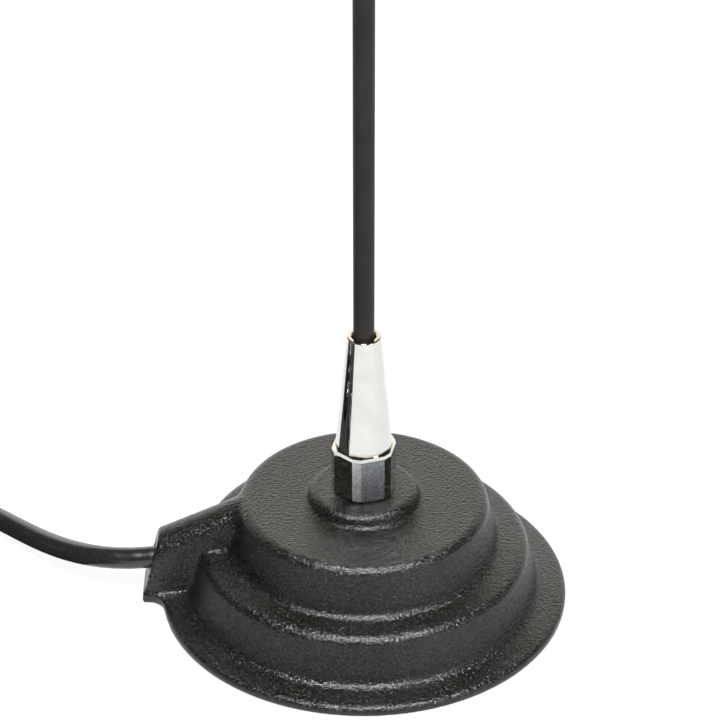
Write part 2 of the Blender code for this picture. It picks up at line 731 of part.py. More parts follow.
def plug():
    """The plug's pieces are turned about its own axis, with +Z towards its mating end."""
    axis = add_empty("plug_axis", PLUG_TIP, (0.0, math.radians(90), 0.0))

    coupling = filleted([
        (7.8, 0, 0), (RING_R, 0, 0.8), (RING_R, -RING_LENGTH, 0.8), (6.4, -RING_LENGTH, 0),
        (6.4, -17.0, 0), (7.8, -17.0, 0),
    ], 1)
    turned("plug_coupling_ring", coupling, "nickel", axis, 32)

    body = [
        (4.3, -10.2), (6.9, -10.2), (6.9, -16.7), (6.1, -16.7), (6.1, -30.0),
        (3.2, -30.0), (3.2, -20.6), (4.3, -20.6),
    ]
    turned("plug_body", body, "nickel", axis, 28)
    turned("plug_insulator", ring(2.15, 4.1, -20.3, -10.9), "white_plastic", axis, 20)
    pin = [(0, -0.5), (1.2, -0.5), (PIN_R, -1.6), (PIN_R, -21.6), (0, -21.6)]
    turned("plug_pin", pin, "nickel", axis, 20)
    turned("tail_dielectric", disc(DIELECTRIC_R, -36.1, -22.0), "white_plastic", axis, 20)
    reducer = [(1.8, -30.3), (5.9, -30.3), (5.9, -33.6), (4.0, -33.6), (4.0, -36.1), (1.8, -36.1)]
    turned("plug_reducer", reducer, "nickel", axis, 24)
    boot_bore = CABLE_R + 0.3
    boot = filleted([
        (boot_bore, -36.5, 0), (4.9, -36.5, 0.6), (4.6, -41.0, 2.0), (3.6, -48.0, 0.4),
        (boot_bore, -48.0, 0),
    ])
    turned("plug_boot", boot, "black_rubber", axis, 20)


# ---------------------------------------------------------------- assembly

def settle_parts():
    """Fix each part's shape as its modifiers give it, and shade it smooth between sharp edges."""
    bpy.context.view_layer.update()
    depsgraph = bpy.context.evaluated_depsgraph_get()
    settled = {}
    for part in PARTS.objects:
        settled[part] = bpy.data.meshes.new_from_object(part.evaluated_get(depsgraph))
    for part, mesh in settled.items():
        part.modifiers.clear()
        part.data = mesh
        mesh.shade_smooth()
        mesh.set_sharp_from_angle(angle=math.radians(32))


base_shell()
base_pad()
magnet_assembly()
stud_and_contacts()
inside_cable()
whip()
free_cable()
plug()
settle_parts()
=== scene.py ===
"""The look of a magnet-mount whip antenna: camera, lead, detailed pieces, materials and light."""

import json
import math

import bmesh
import bpy
import numpy as np
from mathutils import Matrix, Vector, noise


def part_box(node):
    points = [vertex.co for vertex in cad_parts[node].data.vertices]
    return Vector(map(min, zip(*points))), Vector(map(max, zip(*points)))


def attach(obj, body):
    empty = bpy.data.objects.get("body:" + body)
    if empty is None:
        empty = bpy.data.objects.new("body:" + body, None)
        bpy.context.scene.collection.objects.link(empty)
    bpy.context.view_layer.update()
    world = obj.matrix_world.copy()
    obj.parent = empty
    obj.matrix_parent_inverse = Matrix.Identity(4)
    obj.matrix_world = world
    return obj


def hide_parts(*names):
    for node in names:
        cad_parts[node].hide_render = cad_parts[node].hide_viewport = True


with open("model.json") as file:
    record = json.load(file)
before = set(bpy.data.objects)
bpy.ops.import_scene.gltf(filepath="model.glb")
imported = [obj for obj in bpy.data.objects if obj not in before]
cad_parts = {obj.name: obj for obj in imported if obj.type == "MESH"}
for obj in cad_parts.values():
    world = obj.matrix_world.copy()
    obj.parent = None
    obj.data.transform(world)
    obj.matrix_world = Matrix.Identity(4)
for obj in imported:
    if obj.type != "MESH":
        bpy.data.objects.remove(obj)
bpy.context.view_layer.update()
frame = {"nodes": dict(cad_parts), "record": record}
NODES = frame["nodes"]

# ---------------------------------------------------------------- sizes, in metres, as in the CAD

BASE_R = 0.0465
RIM_BOTTOM_Z = 0.0003
BOSS_TOP_Z = 0.0290
PLATEAU_Z = 0.0262
CEILING_Z = 0.0236
SHELF_CEILING_Z = 0.0119
HOOD_HALF_WIDTH = 0.0050
HOOD_TOP = (-0.0286, 0.0253)
HOOD_MOUTH = (-0.0467, 0.01664)
TAB_END_X = -0.0510
TAB_HALF_WIDTH = 0.0055
TAB_THICK = 0.0023
TAB_FILLET = 0.0040
TUNNEL_R = 0.0032
OUTLET_SLOPE = 7.0

HEX_BOTTOM_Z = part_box("whip_ferrule")[0].z
FERRULE_TOP_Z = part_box("whip_ferrule")[1].z
HEX_TOP_Z = 0.0408
HEX_APOTHEM = 0.0068
HEX_CORNER_APOTHEM = 0.00725
HEX_TURN = math.radians(-72.6)
CONE_FOOT_R = 0.00633
CONE_TOP_R = 0.00375
WHIP_BORE_R = 0.00256

CABLE_R = 0.0025
COIL_CENTRE = (-0.1480, 0.0122)
COIL_INNER_R = 0.0221
COIL_PITCH = 0.0052
COIL_COLUMNS = 5
COIL_FIRST_Z = 0.0036
COIL_START_ANGLE = 65.0
COIL_TURNS = 18.36
COIL_POINTS_PER_TURN = 20

PLUG_TIP = (-0.0855, -0.0460, 0.0093)

LEAD_ROUTE = [
    (-0.0466, 0.0, 0.0096),
    (-0.0509, 0.0, 0.0091),
    (-0.0584, 0.0010, 0.0084),
    (-0.0661, 0.0050, 0.0069),
    (-0.0744, 0.0116, 0.0052),
    (-0.0848, 0.0214, 0.0038),
    (-0.0980, 0.0326, 0.0029),
    (-0.1130, 0.0428, 0.0030),
]
TAIL_ROUTE = [
    (-0.1812, -0.0119, 0.0192),
    (-0.1776, -0.0254, 0.0162),
    (-0.1722, -0.0364, 0.0106),
    (-0.1638, -0.0434, 0.0064),
    (-0.1530, -0.0460, 0.0056),
    (-0.1425, -0.0460, 0.0076),
    (-0.1340, -0.0460, 0.0093),
    (-0.1225, -0.0460, 0.0093),
]

# ---------------------------------------------------------------- camera

CAMERA_PLACE = (0.0, -0.52712, 0.39381)
CAMERA_PITCH = math.radians(32.137)
CAMERA_LENS = 141.85
CAMERA_SHIFT_X = -0.0081


def make_camera():
    data = bpy.data.cameras.new("camera")
    data.lens = CAMERA_LENS
    data.sensor_width = 36.0
    data.shift_x = CAMERA_SHIFT_X
    data.clip_start = 0.01
    data.clip_end = 50.0
    camera = bpy.data.objects.new("camera", data)
    camera.location = CAMERA_PLACE
    camera.rotation_euler = (math.pi / 2 - CAMERA_PITCH, 0.0, 0.0)
    bpy.context.scene.collection.objects.link(camera)
    bpy.context.scene.camera = camera


# ---------------------------------------------------------------- helpers for pieces

def new_piece(name, mesh, body, replaced=()):
    piece = bpy.data.objects.new(name, mesh)
    bpy.context.scene.collection.objects.link(piece)
    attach(piece, body)
    if replaced:
        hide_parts(*replaced)
    return piece


def shade(mesh, angle=30.0):
    mesh.shade_smooth()
    mesh.set_sharp_from_angle(angle=math.radians(angle))


def helper_object(name, mesh):
    """A short-lived object that holds a shape for modifiers; whoever asks for it removes it."""
    helper = bpy.data.objects.new("helper_" + name, mesh)
    bpy.context.scene.collection.objects.link(helper)
    return helper


def settled(host):
    """The mesh that an object's modifiers give; the object is removed."""
    bpy.context.view_layer.update()
    depsgraph = bpy.context.evaluated_depsgraph_get()
    mesh = bpy.data.meshes.new_from_object(host.evaluated_get(depsgraph))
    bpy.data.objects.remove(host, do_unlink=True)
    return mesh


# ---------------------------------------------------------------- the free lead

def ease(share):
    share = min(max(share, 0.0), 1.0)
    return 0.5 - 0.5 * math.cos(math.pi * share)


def coil_point(turn):
    """A point on the coil after so many turns: flat layers, stepping in, then out, then in."""
    number = int(turn)
    part_of_turn = turn - number
    layer, place = divmod(number, COIL_COLUMNS)
    step_aside = ease((part_of_turn - 0.40) / 0.35) if place < COIL_COLUMNS - 1 else 0.0
    step_up = ease((part_of_turn - 0.75) / 0.25) if place == COIL_COLUMNS - 1 else 0.0
    across = place + step_aside
    if layer % 2 == 0:
        across = COIL_COLUMNS - 1 - across
    radius = COIL_INNER_R + across * COIL_PITCH
    angle = math.radians(COIL_START_ANGLE + 360 * turn)
    return (
        COIL_CENTRE[0] + radius * math.cos(angle),
        COIL_CENTRE[1] + radius * math.sin(angle),
        COIL_FIRST_Z + (layer + step_up) * COIL_PITCH,
    )


def smooth_route(points, spacing):
    """Points at an even spacing along the natural cubic curve through a list of points."""
    knots = np.array(points, dtype=float)
    steps = np.linalg.norm(np.diff(knots, axis=0), axis=1)
    count = len(knots)
    system = np.eye(count)
    bends = np.zeros_like(knots)
    for i in range(1, count - 1):
        system[i, i - 1] = steps[i - 1]
        system[i, i] = 2 * (steps[i - 1] + steps[i])
        system[i, i + 1] = steps[i]
        slopes = (knots[i + 1] - knots[i]) / steps[i] - (knots[i] - knots[i - 1]) / steps[i - 1]
        bends[i] = 6 * slopes
    second = np.linalg.solve(system, bends)
    dense = []
    for i in range(count - 1):
        for t in np.linspace(0.0, 1.0, 12, endpoint=False):
            a = 1 - t
            bow = ((a ** 3 - a) * second[i] + (t ** 3 - t) * second[i + 1]) * steps[i] ** 2 / 6
            dense.append(a * knots[i] + t * knots[i + 1] + bow)
    dense.append(knots[-1])
    dense = np.array(dense)
    travel = np.concatenate([[0.0], np.cumsum(np.linalg.norm(np.diff(dense, axis=0), axis=1))])
    stations = np.linspace(0.0, travel[-1], round(travel[-1] / spacing) + 1)
    route = [tuple(float(np.interp(s, travel, dense[:, axis])) for axis in range(3)) for s in stations]
    return route, float(travel[-1])


def tube_mesh(name, route, radius, resolution=6):
    """A round tube along a route of (x, y, z) points."""
    curve = bpy.data.curves.new(name, "CURVE")
    curve.dimensions = "3D"
    curve.bevel_depth = radius
    curve.bevel_resolution = resolution
    curve.use_fill_caps = True
    spline = curve.splines.new("POLY")
    spline.points.add(len(route) - 1)
    for point, place in zip(spline.points, route):
        point.co = (*place, 1.0)
    mesh = settled(helper_object(name, curve))
    mesh.name = name
    shape = bmesh.new()
    shape.from_mesh(mesh)
    bmesh.ops.remove_doubles(shape, verts=shape.verts, dist=0.000001)
    shape.to_mesh(mesh)
    shape.free()
    return mesh


def make_lead():
    """The whole free lead as one tube, from inside the outlet, through the coil, to the plug."""
    turns = np.arange(0.0, COIL_TURNS, 1.0 / COIL_POINTS_PER_TURN)
    coil = [coil_point(turn) for turn in turns] + [coil_point(COIL_TURNS)]
    route, length = smooth_route(LEAD_ROUTE + coil + TAIL_ROUTE, 0.0035)
    mesh = tube_mesh("coax_cable", route, CABLE_R)
    shade(mesh, 60.0)
    lead = new_piece("coax_cable", mesh, "base", ["coax_lead", "coax_coil", "coax_tail"])
    return lead, route, length


make_camera()
LEAD, LEAD_ROUTE_POINTS, LEAD_LENGTH = make_lead()


# ---------------------------------------------------------------- shapes

def combined(name, mesh, steps):
    """Union or difference of a mesh with others, by the manifold solver."""
    host = helper_object(name, mesh)
    others = []
    for operation, other in steps:
        helper = helper_object(name + "_" + operation.lower(), other)
        others.append(helper)
        modifier = host.modifiers.new(operation, "BOOLEAN")
        modifier.operation = operation
        modifier.solver = "MANIFOLD"
        modifier.object = helper
    result = settled(host)
    for helper in others:
        bpy.data.objects.remove(helper, do_unlink=True)
    result.name = name
    return result


def filleted(corners, steps=8):
    """An outline through (r, z, fillet radius) corners, with an arc in place of each corner."""
    outline = []
    for index, (r, z, radius) in enumerate(corners):
        if radius == 0:
            outline.append((r, z))
            continue
        corner = Vector((r, z))
        before = (Vector(corners[index - 1][:2]) - corner).normalized()
        after = (Vector(corners[index + 1][:2]) - corner).normalized()
        half = before.angle(after) / 2
        centre = corner + (before + after).normalized() * radius / math.sin(half)
        for step in range(steps + 1):
            share = (step / steps - 0.5) * (math.pi - 2 * half)
            side = (after - before).normalized() * math.sin(share)
            outward = (corner - centre).normalized() * math.cos(share)
            outline.append(tuple(centre + (side + outward) * radius))
    return outline


def turned(name, outline, sides, place=None):
    """A closed turned mesh from an outline of (r, z) points that runs down its outer side."""
    shape = bmesh.new()
    loop = outline[0][0] > 0
    rings = []
    for r, z in outline:
        if r == 0:
            rings.append([shape.verts.new((0.0, 0.0, z))])
        else:
            angles = (2 * math.pi * side / sides for side in range(sides))
            rings.append([shape.verts.new((r * math.cos(a), r * math.sin(a), z)) for a in angles])
    pairs = list(zip(rings, rings[1:]))
    if loop:
        pairs.append((rings[-1], rings[0]))
    for upper, lower in pairs:
        for side in range(sides):
            following = (side + 1) % sides
            corners = [upper[side % len(upper)], lower[side % len(lower)],
                       lower[following % len(lower)], upper[following % len(upper)]]
            distinct = list(dict.fromkeys(corners))
            if len(distinct) > 2:
                shape.faces.new(distinct)
    if place is not None:
        shape.transform(place)
    mesh = bpy.data.meshes.new(name)
    shape.to_mesh(mesh)
    shape.free()
    return mesh


def stacked(name, rings):
    """A closed solid through rings of (x, y, z) points, anticlockwise, from the lowest up."""
    shape = bmesh.new()
    levels = [[shape.verts.new(point) for point in ring] for ring in rings]
    shape.faces.new(list(reversed(levels[0])))
    shape.faces.new(levels[-1])
    for lower, upper in zip(levels, levels[1:]):
        for index in range(len(lower)):
            following = (index + 1) % len(lower)
            shape.faces.new((lower[index], lower[following], upper[following], upper[index]))
    mesh = bpy.data.meshes.new(name)
    shape.to_mesh(mesh)
    shape.free()
    return mesh


def prism(name, outline, bottom, top):
    """A flat outline of (x, y) points, anticlockwise, raised from bottom to top."""
    return stacked(name, [[(x, y, z) for x, y in outline] for z in (bottom, top)])


# ---------------------------------------------------------------- materials

class Look:
    """A node material, built from small steps that each add one kind of surface detail."""

    def __init__(self, name):
        self.material = bpy.data.materials.new(name)
        self.material.use_nodes = True
        self.tree = self.material.node_tree
        self.shader = self.tree.nodes["Principled BSDF"]
        self.place = self.node("ShaderNodeTexCoord").outputs["Object"]
        self.height = None

    def node(self, kind, **settings):
        node = self.tree.nodes.new(kind)
        for key, value in settings.items():
            setattr(node, key, value)
        return node

    def link(self, output, target):
        self.tree.links.new(output, target)

    def set(self, **values):
        for key, value in values.items():
            self.shader.inputs[key.replace("_", " ")].default_value = value
        return self

    def noise(self, scale, detail=2.0, roughness=0.5, stretch=(1, 1, 1)):
        """Noise with features about 1 / scale metres across."""
        mapping = self.node("ShaderNodeMapping")
        mapping.inputs["Scale"].default_value = stretch
        self.link(self.place, mapping.inputs["Vector"])
        texture = self.node("ShaderNodeTexNoise")
        texture.inputs["Scale"].default_value = scale
        texture.inputs["Detail"].default_value = detail
        texture.inputs["Roughness"].default_value = roughness
        self.link(mapping.outputs["Vector"], texture.inputs["Vector"])
        return texture.outputs["Fac"]

    def cells(self, scale):
        """The distance to the middle of cells about 1 / scale metres across."""
        texture = self.node("ShaderNodeTexVoronoi")
        texture.inputs["Scale"].default_value = scale
        self.link(self.place, texture.inputs["Vector"])
        return texture.outputs["Distance"]

    def span(self, value, low, high, start=0.3, end=0.7):
        """Maps a texture's value to a range."""
        node = self.node("ShaderNodeMapRange", clamp=True)
        for key, number in zip(("From Min", "From Max", "To Min", "To Max"), (start, end, low, high)):
            node.inputs[key].default_value = number
        self.link(value, node.inputs["Value"])
        return node.outputs["Result"]

    def foot_shade_and_lip_mask(self):
        """1 in a narrow band round the foot of the ferrule's cone, which is painted shade in the groove
        there, and round its lip, which gets a brownish tint.
        """
        height = self.node("ShaderNodeSeparateXYZ")
        self.link(self.place, height.inputs["Vector"])
        # the band at the foot is painted shade, in the groove where the cone meets the hexagon
        foot = self.span(height.outputs["Z"], 1.0, 0.0, HEX_TOP_Z + 0.0003, HEX_TOP_Z + 0.0010)
        above = self.span(height.outputs["Z"], 0.0, 1.0, HEX_TOP_Z - 0.0002, HEX_TOP_Z + 0.0001)
        lip = self.span(height.outputs["Z"], 0.0, 1.0, FERRULE_TOP_Z - 0.0003, FERRULE_TOP_Z - 0.0001)
        band = self.node("ShaderNodeMath", operation="MULTIPLY")
        self.link(foot, band.inputs[0])
        self.link(above, band.inputs[1])
        either = self.node("ShaderNodeMath", operation="MAXIMUM")
        self.link(band.outputs[0], either.inputs[0])
        self.link(lip, either.inputs[1])
        patchy = self.node("ShaderNodeMath", operation="MULTIPLY")
        self.link(either.outputs[0], patchy.inputs[0])
        self.link(self.span(self.noise(500, 3.0), 0.45, 1.0), patchy.inputs[1])
        return patchy.outputs[0]

    def mix(self, value, first, second):
        node = self.node("ShaderNodeMix", data_type="RGBA")
        node.inputs["A"].default_value = (*first, 1.0)
        node.inputs["B"].default_value = (*second, 1.0)
        self.link(value, node.inputs["Factor"])
        return node.outputs["Result"]

    def colour(self, value, first, second):
        self.link(self.mix(value, first, second), self.shader.inputs["Base Color"])
        return self

    def roughness(self, value, low, high):
        self.link(self.span(value, low, high), self.shader.inputs["Roughness"])
        return self

    def bump(self, value, depth):
        """Adds a height, in metres, on top of those added before."""
        node = self.node("ShaderNodeBump")
        node.inputs["Distance"].default_value = depth
        self.link(value, node.inputs["Height"])
        if self.height is not None:
            self.link(self.height, node.inputs["Normal"])
        self.height = node.outputs["Normal"]
        self.link(self.height, self.shader.inputs["Normal"])
        return self


def powder_coat():
    look = Look("powder_coat")
    grain = look.noise(1450, 2.5, 0.65)
    fine = look.noise(3800, 1.0)
    specks = look.noise(2500, 1.0)
    glints = look.span(specks, 0.0, 1.0, 0.40, 0.68)
    look.colour(glints, (0.0004, 0.0004, 0.0003), (0.0180, 0.0175, 0.0155))
    look.roughness(fine, 0.12, 0.23)
    look.bump(grain, 0.00032)
    look.bump(fine, 0.00007)
    look.set(IOR=1.5)
    return look.material


def mirror_chrome():
    """Bright plating, with painted brownish shade in the groove at the cone's foot, and the same brownish
    tint round its lip.
    """
    look = Look("mirror_chrome")
    smudge = look.noise(220, 3.0)
    waves = look.noise(160, 1.0)
    plating = look.mix(look.span(smudge, 0.0, 1.0), (0.68, 0.70, 0.665), (0.75, 0.765, 0.735))
    # painted shade: the brownish colour below darkens the groove at the cone's foot, and the same colour
    # tints the lip
    foot_shade_and_lip_tint = look.node("ShaderNodeMix", data_type="RGBA")
    look.link(look.foot_shade_and_lip_mask(), foot_shade_and_lip_tint.inputs["Factor"])
    look.link(plating, foot_shade_and_lip_tint.inputs["A"])
    foot_shade_and_lip_tint.inputs["B"].default_value = (0.44, 0.36, 0.28, 1.0)
    look.link(foot_shade_and_lip_tint.outputs["Result"], look.shader.inputs["Base Color"])
    look.roughness(smudge, 0.03, 0.08)
    look.bump(waves, 0.00002)
    look.set(Metallic=1.0)
    return look.material


def painted_facet_chrome(name, darkest, brightest, smoothest, roughest, pit_depth):
    """The hexagon's plating for single facets: the casting's pits show as bumps, and the tone from
    darkest to brightest is painted reflection, set for each facet.
    """
    look = Look(name)
    pits = look.noise(2600, 2.0, 0.7)
    waves = look.noise(300, 1.0)
    look.colour(look.span(pits, 0.0, 1.0), darkest, brightest)
    look.roughness(pits, smoothest, roughest)
    look.bump(waves, 0.00003)
    look.bump(pits, pit_depth)
    look.set(Metallic=1.0)
    return look.material


def shrink_sleeve():
    look = Look("shrink_sleeve")
    drawn = look.noise(900, 2.0, 0.5, (1, 1, 0.02))
    mottle = look.noise(120, 2.0)
    look.colour(look.span(mottle, 0.0, 1.0), (0.0085, 0.0078, 0.0066), (0.0125, 0.0116, 0.0100))
    look.roughness(drawn, 0.42, 0.56)
    look.bump(drawn, 0.00002)
    look.set(IOR=1.34)
    return look.material


def cable_jacket():
    look = Look("cable_jacket")
    drawn = look.noise(500, 2.0)
    dust = look.noise(1800, 1.0)
    look.colour(look.span(dust, 0.0, 1.0, 0.55, 0.8), (0.010, 0.010, 0.0098), (0.022, 0.022, 0.021))
    look.roughness(drawn, 0.18, 0.30)
    look.bump(drawn, 0.00002)
    look.set(IOR=1.68)
    return look.material


def nickel_plate():
    look = Look("nickel_plate")
    lines = look.noise(900, 3.0, 0.6, (0.05, 1, 1))
    stains = look.noise(140, 3.0)
    look.colour(look.span(stains, 0.0, 1.0), (0.60, 0.585, 0.555), (0.73, 0.72, 0.69))
    look.roughness(lines, 0.16, 0.30)
    look.bump(lines, 0.00001)
    look.set(Metallic=1.0)
    return look.material


def plated_screw():
    look = Look("plated_screw")
    grain = look.noise(1200, 2.0)
    look.colour(look.span(grain, 0.0, 1.0), (0.58, 0.57, 0.54), (0.74, 0.73, 0.70))
    look.roughness(grain, 0.20, 0.34)
    look.bump(grain, 0.00001)
    look.set(Metallic=1.0)
    return look.material


def zinc_steel():
    look = Look("zinc_steel")
    spangle = look.cells(260)
    look.colour(look.span(spangle, 0.0, 1.0, 0.1, 0.8), (0.46, 0.47, 0.49), (0.60, 0.61, 0.62))
    look.roughness(look.noise(700), 0.28, 0.44)
    look.bump(look.noise(1500), 0.00001)
    look.set(Metallic=1.0)
    return look.material


def turned_brass():
    look = Look("turned_brass")
    rings = look.noise(1500, 2.0, 0.6, (0.1, 0.1, 1))
    look.colour(look.span(look.noise(200), 0.0, 1.0), (0.70, 0.50, 0.22), (0.82, 0.62, 0.31))
    look.roughness(rings, 0.18, 0.34)
    look.bump(rings, 0.00001)
    look.set(Metallic=1.0)
    return look.material


def bare_copper():
    look = Look("bare_copper")
    lay = look.noise(2500, 1.0)
    look.colour(look.span(look.noise(300), 0.0, 1.0), (0.72, 0.33, 0.19), (0.88, 0.47, 0.31))
    look.roughness(lay, 0.22, 0.40)
    look.bump(lay, 0.00003)
    look.set(Metallic=1.0)
    return look.material


def ferrite():
    look = Look("ferrite")
    grain = look.noise(1800, 3.0, 0.6)
    look.colour(look.span(grain, 0.0, 1.0), (0.05, 0.05, 0.053), (0.10, 0.10, 0.105))
    look.roughness(grain, 0.55, 0.80)
    look.bump(grain, 0.00003)
    return look.material


def black_rubber():
    look = Look("black_rubber")
    grain = look.noise(1400, 3.0, 0.6)
    chalk = look.noise(90, 3.0)
    look.colour(look.span(chalk, 0.0, 1.0), (0.013, 0.013, 0.0135), (0.027, 0.027, 0.027))
    look.roughness(grain, 0.58, 0.76)
    look.bump(grain, 0.00003)
    return look.material


def woven_strap():
    """Hook-and-loop strap: a fine plain weave with a fuzzy face."""
    look = Look("woven_strap")
    weave = look.cells(1300)
    fuzz = look.noise(3500, 3.0, 0.7)
    look.colour(look.span(weave, 0.0, 1.0, 0.1, 0.7), (0.030, 0.030, 0.032), (0.012, 0.012, 0.013))
    look.roughness(fuzz, 0.80, 0.95)
    look.bump(weave, 0.00018)
    look.bump(fuzz, 0.00008)
    look.set(Sheen_Weight=0.35, Sheen_Roughness=0.5)
    return look.material


def white_plastic():
    look = Look("white_plastic")
    flow = look.noise(300, 2.0)
    look.colour(look.span(flow, 0.0, 1.0), (0.74, 0.73, 0.68), (0.82, 0.81, 0.77))
    look.roughness(look.noise(900), 0.36, 0.50)
    look.bump(look.noise(1100), 0.00001)
    look.set(Subsurface_Weight=0.1, Subsurface_Scale=0.001)
    return look.material


def glass_fibre():
    look = Look("glass_fibre")
    strands = look.noise(1500, 2.0, 0.6, (1, 1, 0.02))
    look.colour(look.span(strands, 0.0, 1.0), (0.62, 0.57, 0.40), (0.80, 0.77, 0.62))
    look.roughness(strands, 0.35, 0.55)
    look.bump(strands, 0.00002)
    return look.material


MATERIALS = {
    "black_cast": powder_coat(),
    "black_rubber": black_rubber(),
    "zinc_steel": zinc_steel(),
    "ferrite": ferrite(),
    "nickel": plated_screw(),
    "white_plastic": white_plastic(),
    "brass": turned_brass(),
    "copper": bare_copper(),
    "black_jacket": cable_jacket(),
    "black_fabric": woven_strap(),
    "chrome": mirror_chrome(),
    "glass_fibre": glass_fibre(),
    "black_sleeve": shrink_sleeve(),
}
# Painted reflection: a darker chrome for the hexagon's wide facet at HEX_TURN, and a brighter chrome for
# the planed corner beside it.
DARK_FACET_CHROME = painted_facet_chrome(
    "painted_facet_chrome", (0.19, 0.20, 0.22), (0.45, 0.46, 0.49), 0.20, 0.34, 0.00008,
)
BRIGHT_FACET_CHROME = painted_facet_chrome(
    "painted_bright_facet_chrome", (0.36, 0.37, 0.39), (0.84, 0.85, 0.86), 0.26, 0.42, 0.00010,
)
PLUG_PLATE = nickel_plate()


def paint(piece, *materials):
    piece.data.materials.clear()
    for material in materials:
        piece.data.materials.append(material)


def paint_frame():
    """Every CAD node gets the detailed material of its slot."""
    slots = {entry["node"]: entry["material_slot"] for entry in frame["record"]["subparts"]}
    for name, node in NODES.items():
        for index in range(len(node.material_slots)):
            node.material_slots[index].material = MATERIALS[slots[name]]


paint_frame()
paint(LEAD, MATERIALS["black_jacket"])


# ---------------------------------------------------------------- the base casting

SHELL_OUTLINE = [
    (0.0, BOSS_TOP_Z, 0.0),
    (0.0120, BOSS_TOP_Z, 0.0017),
    (0.0129, PLATEAU_Z, 0.0012),
    (0.0279, PLATEAU_Z, 0.0023),
    (0.0305, 0.0150, 0.0020),
    (0.03725, 0.0142, 0.0024),
    (0.03985, 0.0034, 0.0020),
    (BASE_R, 0.0023, 0.0014),
    (BASE_R, RIM_BOTTOM_Z, 0.0004),
    (0.0, RIM_BOTTOM_Z, 0.0),
]


def tab_outline():
    """Plan of the tab under the hood, whose sides sweep into the flange's rim."""
    centre_y = -(TAB_HALF_WIDTH + TAB_FILLET)
    centre_x = -math.sqrt((BASE_R + TAB_FILLET) ** 2 - centre_y ** 2)
    rim_angle = math.atan2(-centre_y, -centre_x)
    steps = 12
    near_side = [(TAB_END_X + 0.00025, -TAB_HALF_WIDTH)]
    for step in range(steps + 1):
        angle = math.pi / 2 - (math.pi / 2 - rim_angle) * step / steps
        near_side.append((
            centre_x + TAB_FILLET * math.cos(angle), centre_y + TAB_FILLET * math.sin(angle),
        ))
    near_side.append((-0.0430, -0.0084))
    far_side = [(x, -y) for x, y in reversed(near_side)]
    return near_side + far_side


def hood_mesh():
    """The hood over the cable: upright sides under a half-round ridge that slopes to the outlet."""
    run = HOOD_TOP[0] - HOOD_MOUTH[0]
    slope = (HOOD_TOP[1] - HOOD_MOUTH[1]) / run
    lean = (HOOD_MOUTH[0] - TAB_END_X) / HOOD_MOUTH[1]
    inner_x = HOOD_TOP[0] + 0.0014
    arc_steps = 24
    shape = bmesh.new()
    ends = []
    for end in ("mouth", "inner"):
        section = []
        for step in range(arc_steps + 1):
            angle = math.pi * step / arc_steps
            section.append((HOOD_HALF_WIDTH * math.cos(angle), HOOD_HALF_WIDTH * (math.sin(angle) - 1)))
        section.insert(0, (HOOD_HALF_WIDTH, None))
        section.append((-HOOD_HALF_WIDTH, None))
        verts = []
        for y, drop in section:
            if end == "inner":
                x = inner_x
                z = RIM_BOTTOM_Z if drop is None else HOOD_TOP[1] + slope * (inner_x - HOOD_TOP[0]) + drop
            elif drop is None:
                x, z = TAB_END_X + lean * RIM_BOTTOM_Z, RIM_BOTTOM_Z
            else:
                # where the ridge line, lowered by drop, meets the leaning outlet face
                ridge_at_foot = HOOD_MOUTH[1] + slope * (TAB_END_X - HOOD_MOUTH[0]) + drop
                z = ridge_at_foot / (1 - slope * lean)
                x = TAB_END_X + lean * z
            verts.append(shape.verts.new((x, y, z)))
        ends.append(verts)
    mouth, inner = ends
    shape.faces.new(mouth)
    shape.faces.new(list(reversed(inner)))
    for index in range(len(mouth)):
        following = (index + 1) % len(mouth)
        shape.faces.new((mouth[following], mouth[index], inner[index], inner[following]))
    bmesh.ops.recalc_face_normals(shape, faces=shape.faces)
    mesh = bpy.data.meshes.new("hood")
    shape.to_mesh(mesh)
    shape.free()
    return mesh


VOXEL = 0.00042
SMOOTH_STEPS = 5
FILLET_STEPS = 60
ROUND_ZONE = 0.0135      # beyond this distance from the hood's middle plane, the casting is round
ROUND_FADE = 0.003       # over this much, the exact round takes over from the smoothed skin
HOOD_INNER_X = -0.024    # the casting is round from here on, whatever the distance
HOOD_FADE = 0.004
SEAM_Z = 0.0070          # the mould's parting line on the hood
SEAM_INNER_X = -0.0400
SEAM_HALF_WIDTH = 0.00022
SEAM_HEIGHT = 0.00014
SEAM_RAGGEDNESS = 0.00018
UNEVENNESS = 0.000006
RECESS_R = 0.0039        # the grommet's pocket, which starts this deep inside the outlet's face
RECESS_START = 0.0019
RECESS_END = 0.0045
OUTLET_PLACE = (-0.0492, 0.0, 0.0093)


def cast_outside():
    """The casting's outside as one skin: its corners and joins are rounded as a casting's are."""
    outside = turned("cast_outside", filleted(SHELL_OUTLINE), 288)
    skin = combined("cast_skin", outside, [
        ("UNION", prism("tab", tab_outline(), RIM_BOTTOM_Z, RIM_BOTTOM_Z + TAB_THICK)),
        ("UNION", hood_mesh()),
    ])
    host = helper_object("skin", skin)
    remesh = host.modifiers.new("skin", "REMESH")
    remesh.mode = "VOXEL"
    remesh.voxel_size = VOXEL
    smooth = host.modifiers.new("smooth", "SMOOTH")
    smooth.factor = 0.5
    smooth.iterations = SMOOTH_STEPS
    skin = settled(host)
    fill_inner_corners(skin)
    return skin


def read(mesh, what):
    values = np.empty(len(mesh.vertices) * 3)
    mesh.vertices.foreach_get(what, values)
    return values.reshape(-1, 3)


def write(mesh, places):
    mesh.vertices.foreach_set("co", places.ravel())
    mesh.update()


